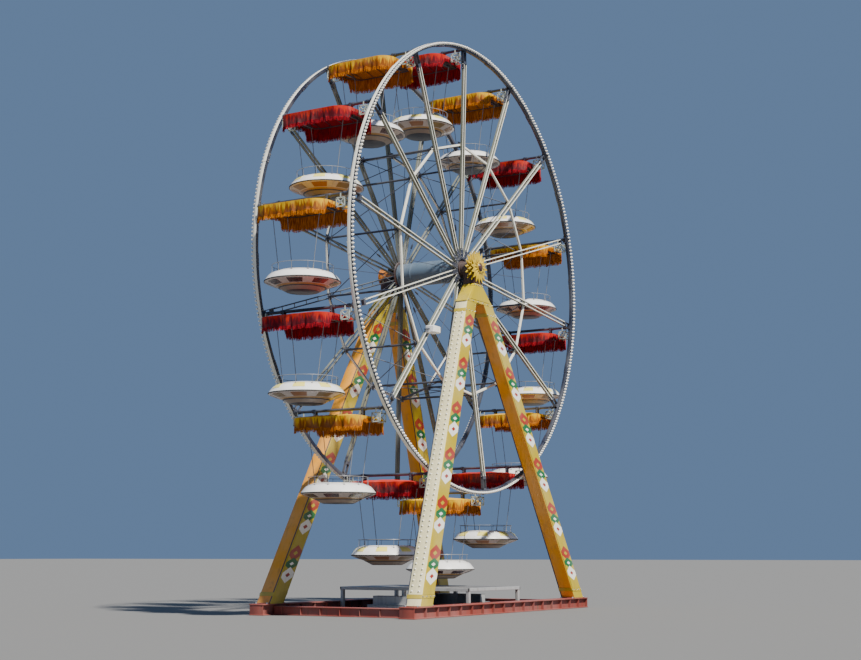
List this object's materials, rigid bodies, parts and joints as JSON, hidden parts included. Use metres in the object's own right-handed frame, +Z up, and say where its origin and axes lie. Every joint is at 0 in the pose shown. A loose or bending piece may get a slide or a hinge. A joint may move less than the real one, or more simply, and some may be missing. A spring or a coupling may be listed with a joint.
{
  "type": "ferris wheel",
  "caption": "Travelling ferris wheel: twin rims on spoked hubs between splayed A-frames, with round tubs hanging under fringed canopies.",
  "frame": {"origin": "on the ground under the middle of the wheel", "axes": "+Z up, +Y along the axle from the near side to the far side, +X to the right seen from the near side"},
  "size_m": [14.8742, 5.17, 16.438],
  "materials": {
    "leg_paint": "gloss yellow enamel, worn at the edges",
    "sun_paint": "gloss golden yellow enamel",
    "base_paint": "red oxide enamel, scuffed",
    "deck_metal": "chequered tread plate",
    "wheel_paint": "cream enamel over steel tube",
    "axle_paint": "blue-grey enamel",
    "dark_steel": "dark blue-black enamel",
    "red_cloth": "printed canopy cloth with a fringe",
    "yellow_cloth": "printed canopy cloth with a fringe",
    "tub_shell": "glass-reinforced plastic with painted panels"
  },
  "bodies": {
    "stand": {"near_leg_left": "leg_paint", "near_leg_right": "leg_paint", "near_head": "leg_paint", "far_leg_left": "leg_paint", "far_leg_right": "leg_paint", "far_head": "leg_paint", "sunburst": "sun_paint", "base_frame": "base_paint", "boarding_deck": "deck_metal"},
    "wheel": {"axle_drum": "axle_paint", "rim_near": "wheel_paint", "spokes_near": "wheel_paint", "inner_ring_near": "wheel_paint", "rim_far": "wheel_paint", "spokes_far": "wheel_paint", "inner_ring_far": "wheel_paint", "cross_bar_01": "dark_steel", "cross_bar_02": "dark_steel", "cross_bar_03": "dark_steel", "cross_bar_04": "dark_steel", "cross_bar_05": "dark_steel", "cross_bar_06": "dark_steel", "cross_bar_07": "dark_steel", "cross_bar_08": "dark_steel", "cross_bar_09": "dark_steel", "cross_bar_10": "dark_steel", "cross_bar_11": "dark_steel", "cross_bar_12": "dark_steel", "cross_bar_13": "dark_steel", "cross_bar_14": "dark_steel"},
    "cabin_01": {"canopy_01": "red_cloth", "tub_01": "tub_shell"},
    "cabin_02": {"canopy_02": "yellow_cloth", "tub_02": "tub_shell"},
    "cabin_03": {"canopy_03": "red_cloth", "tub_03": "tub_shell"},
    "cabin_04": {"canopy_04": "yellow_cloth", "tub_04": "tub_shell"},
    "cabin_05": {"canopy_05": "red_cloth", "tub_05": "tub_shell"},
    "cabin_06": {"canopy_06": "yellow_cloth", "tub_06": "tub_shell"},
    "cabin_07": {"canopy_07": "red_cloth", "tub_07": "tub_shell"},
    "cabin_08": {"canopy_08": "yellow_cloth", "tub_08": "tub_shell"},
    "cabin_09": {"canopy_09": "red_cloth", "tub_09": "tub_shell"},
    "cabin_10": {"canopy_10": "yellow_cloth", "tub_10": "tub_shell"},
    "cabin_11": {"canopy_11": "red_cloth", "tub_11": "tub_shell"},
    "cabin_12": {"canopy_12": "yellow_cloth", "tub_12": "tub_shell"},
    "cabin_13": {"canopy_13": "red_cloth", "tub_13": "tub_shell"},
    "cabin_14": {"canopy_14": "yellow_cloth", "tub_14": "tub_shell"}
  },
  "joints": [
    {"name": "wheel_spin", "type": "hinge", "parent": "stand", "child": "wheel", "pos_m": [0, 0, 9.86], "axis": [0, 1, 0], "continuous": true},
    {"name": "cabin_01_swing", "type": "hinge", "parent": "wheel", "child": "cabin_01", "pos_m": [-0.5529, 0, 16.3364], "axis": [0, 1, 0], "continuous": true},
    {"name": "cabin_02_swing", "type": "hinge", "parent": "wheel", "child": "cabin_02", "pos_m": [2.3118, 0, 15.935], "axis": [0, 1, 0], "continuous": true},
    {"name": "cabin_03_swing", "type": "hinge", "parent": "wheel", "child": "cabin_03", "pos_m": [4.7187, 0, 14.3303], "axis": [0, 1, 0], "continuous": true},
    {"name": "cabin_04_swing", "type": "hinge", "parent": "wheel", "child": "cabin_04", "pos_m": [6.191, 0, 11.8402], "axis": [0, 1, 0], "continuous": true},
    {"name": "cabin_05_swing", "type": "hinge", "parent": "wheel", "child": "cabin_05", "pos_m": [6.4371, 0, 8.9579], "axis": [0, 1, 0], "continuous": true},
    {"name": "cabin_06_swing", "type": "hinge", "parent": "wheel", "child": "cabin_06", "pos_m": [5.4082, 0, 6.2543], "axis": [0, 1, 0], "continuous": true},
    {"name": "cabin_07_swing", "type": "hinge", "parent": "wheel", "child": "cabin_07", "pos_m": [3.3082, 0, 4.2648], "axis": [0, 1, 0], "continuous": true},
    {"name": "cabin_08_swing", "type": "hinge", "parent": "wheel", "child": "cabin_08", "pos_m": [0.5529, 0, 3.3836], "axis": [0, 1, 0], "continuous": true},
    {"name": "cabin_09_swing", "type": "hinge", "parent": "wheel", "child": "cabin_09", "pos_m": [-2.3118, 0, 3.785], "axis": [0, 1, 0], "continuous": true},
    {"name": "cabin_10_swing", "type": "hinge", "parent": "wheel", "child": "cabin_10", "pos_m": [-4.7187, 0, 5.3897], "axis": [0, 1, 0], "continuous": true},
    {"name": "cabin_11_swing", "type": "hinge", "parent": "wheel", "child": "cabin_11", "pos_m": [-6.191, 0, 7.8798], "axis": [0, 1, 0], "continuous": true},
    {"name": "cabin_12_swing", "type": "hinge", "parent": "wheel", "child": "cabin_12", "pos_m": [-6.4371, 0, 10.7621], "axis": [0, 1, 0], "continuous": true},
    {"name": "cabin_13_swing", "type": "hinge", "parent": "wheel", "child": "cabin_13", "pos_m": [-5.4082, 0, 13.4657], "axis": [0, 1, 0], "continuous": true},
    {"name": "cabin_14_swing", "type": "hinge", "parent": "wheel", "child": "cabin_14", "pos_m": [-3.3082, 0, 15.4552], "axis": [0, 1, 0], "continuous": true}
  ],
  "couplings": [
    {"joint": "cabin_01_swing", "follows": "wheel_spin", "ratio": -1},
    {"joint": "cabin_02_swing", "follows": "wheel_spin", "ratio": -1},
    {"joint": "cabin_03_swing", "follows": "wheel_spin", "ratio": -1},
    {"joint": "cabin_04_swing", "follows": "wheel_spin", "ratio": -1},
    {"joint": "cabin_05_swing", "follows": "wheel_spin", "ratio": -1},
    {"joint": "cabin_06_swing", "follows": "wheel_spin", "ratio": -1},
    {"joint": "cabin_07_swing", "follows": "wheel_spin", "ratio": -1},
    {"joint": "cabin_08_swing", "follows": "wheel_spin", "ratio": -1},
    {"joint": "cabin_09_swing", "follows": "wheel_spin", "ratio": -1},
    {"joint": "cabin_10_swing", "follows": "wheel_spin", "ratio": -1},
    {"joint": "cabin_11_swing", "follows": "wheel_spin", "ratio": -1},
    {"joint": "cabin_12_swing", "follows": "wheel_spin", "ratio": -1},
    {"joint": "cabin_13_swing", "follows": "wheel_spin", "ratio": -1},
    {"joint": "cabin_14_swing", "follows": "wheel_spin", "ratio": -1}
  ]
}
